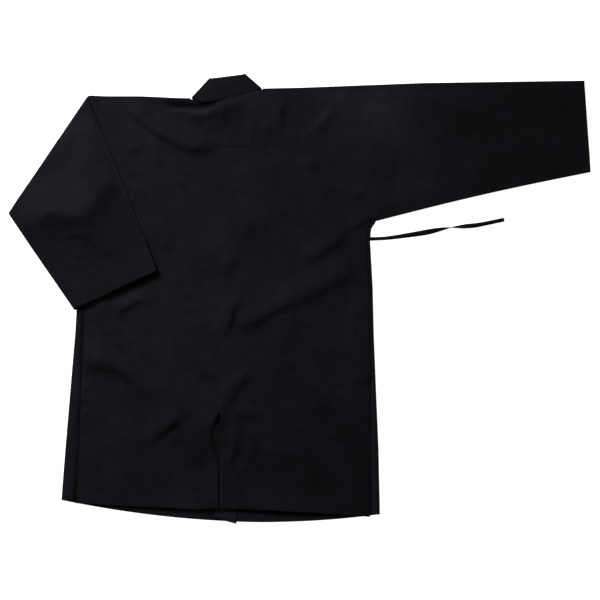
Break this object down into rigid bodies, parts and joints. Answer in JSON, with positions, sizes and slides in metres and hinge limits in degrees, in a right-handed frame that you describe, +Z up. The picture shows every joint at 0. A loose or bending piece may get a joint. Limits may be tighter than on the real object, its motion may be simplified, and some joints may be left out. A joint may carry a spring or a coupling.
{
  "type": "iaido gi",
  "caption": "Plain black practice jacket laid flat on its fronts, back up, with wide sleeves, one turned over the back, a banded collar, a hem vent and side ties.",
  "frame": {"origin": "the middle of the area that the jacket covers, on the surface it lies on", "axes": "+X along the shoulders towards the open right sleeve's cuff, +Y from the hem towards the collar, +Z up off the surface, out of the back"},
  "size_m": [1.1626, 0.8998, 0.0184],
  "materials": {
    "cloth": "matte plain weave, black with a slight blue cast",
    "collar": "matte plain weave, black, doubled and pressed",
    "tie": "matte plain weave, black, sewn flat strip"
  },
  "bodies": {
    "root": {"back_left": "cloth", "back_right": "cloth", "front_left": "cloth", "front_right": "cloth", "sleeve_left": "cloth", "sleeve_right": "cloth", "collar": "collar", "tie_right": "tie", "tie_left": "tie"}
  },
  "joints": []
}
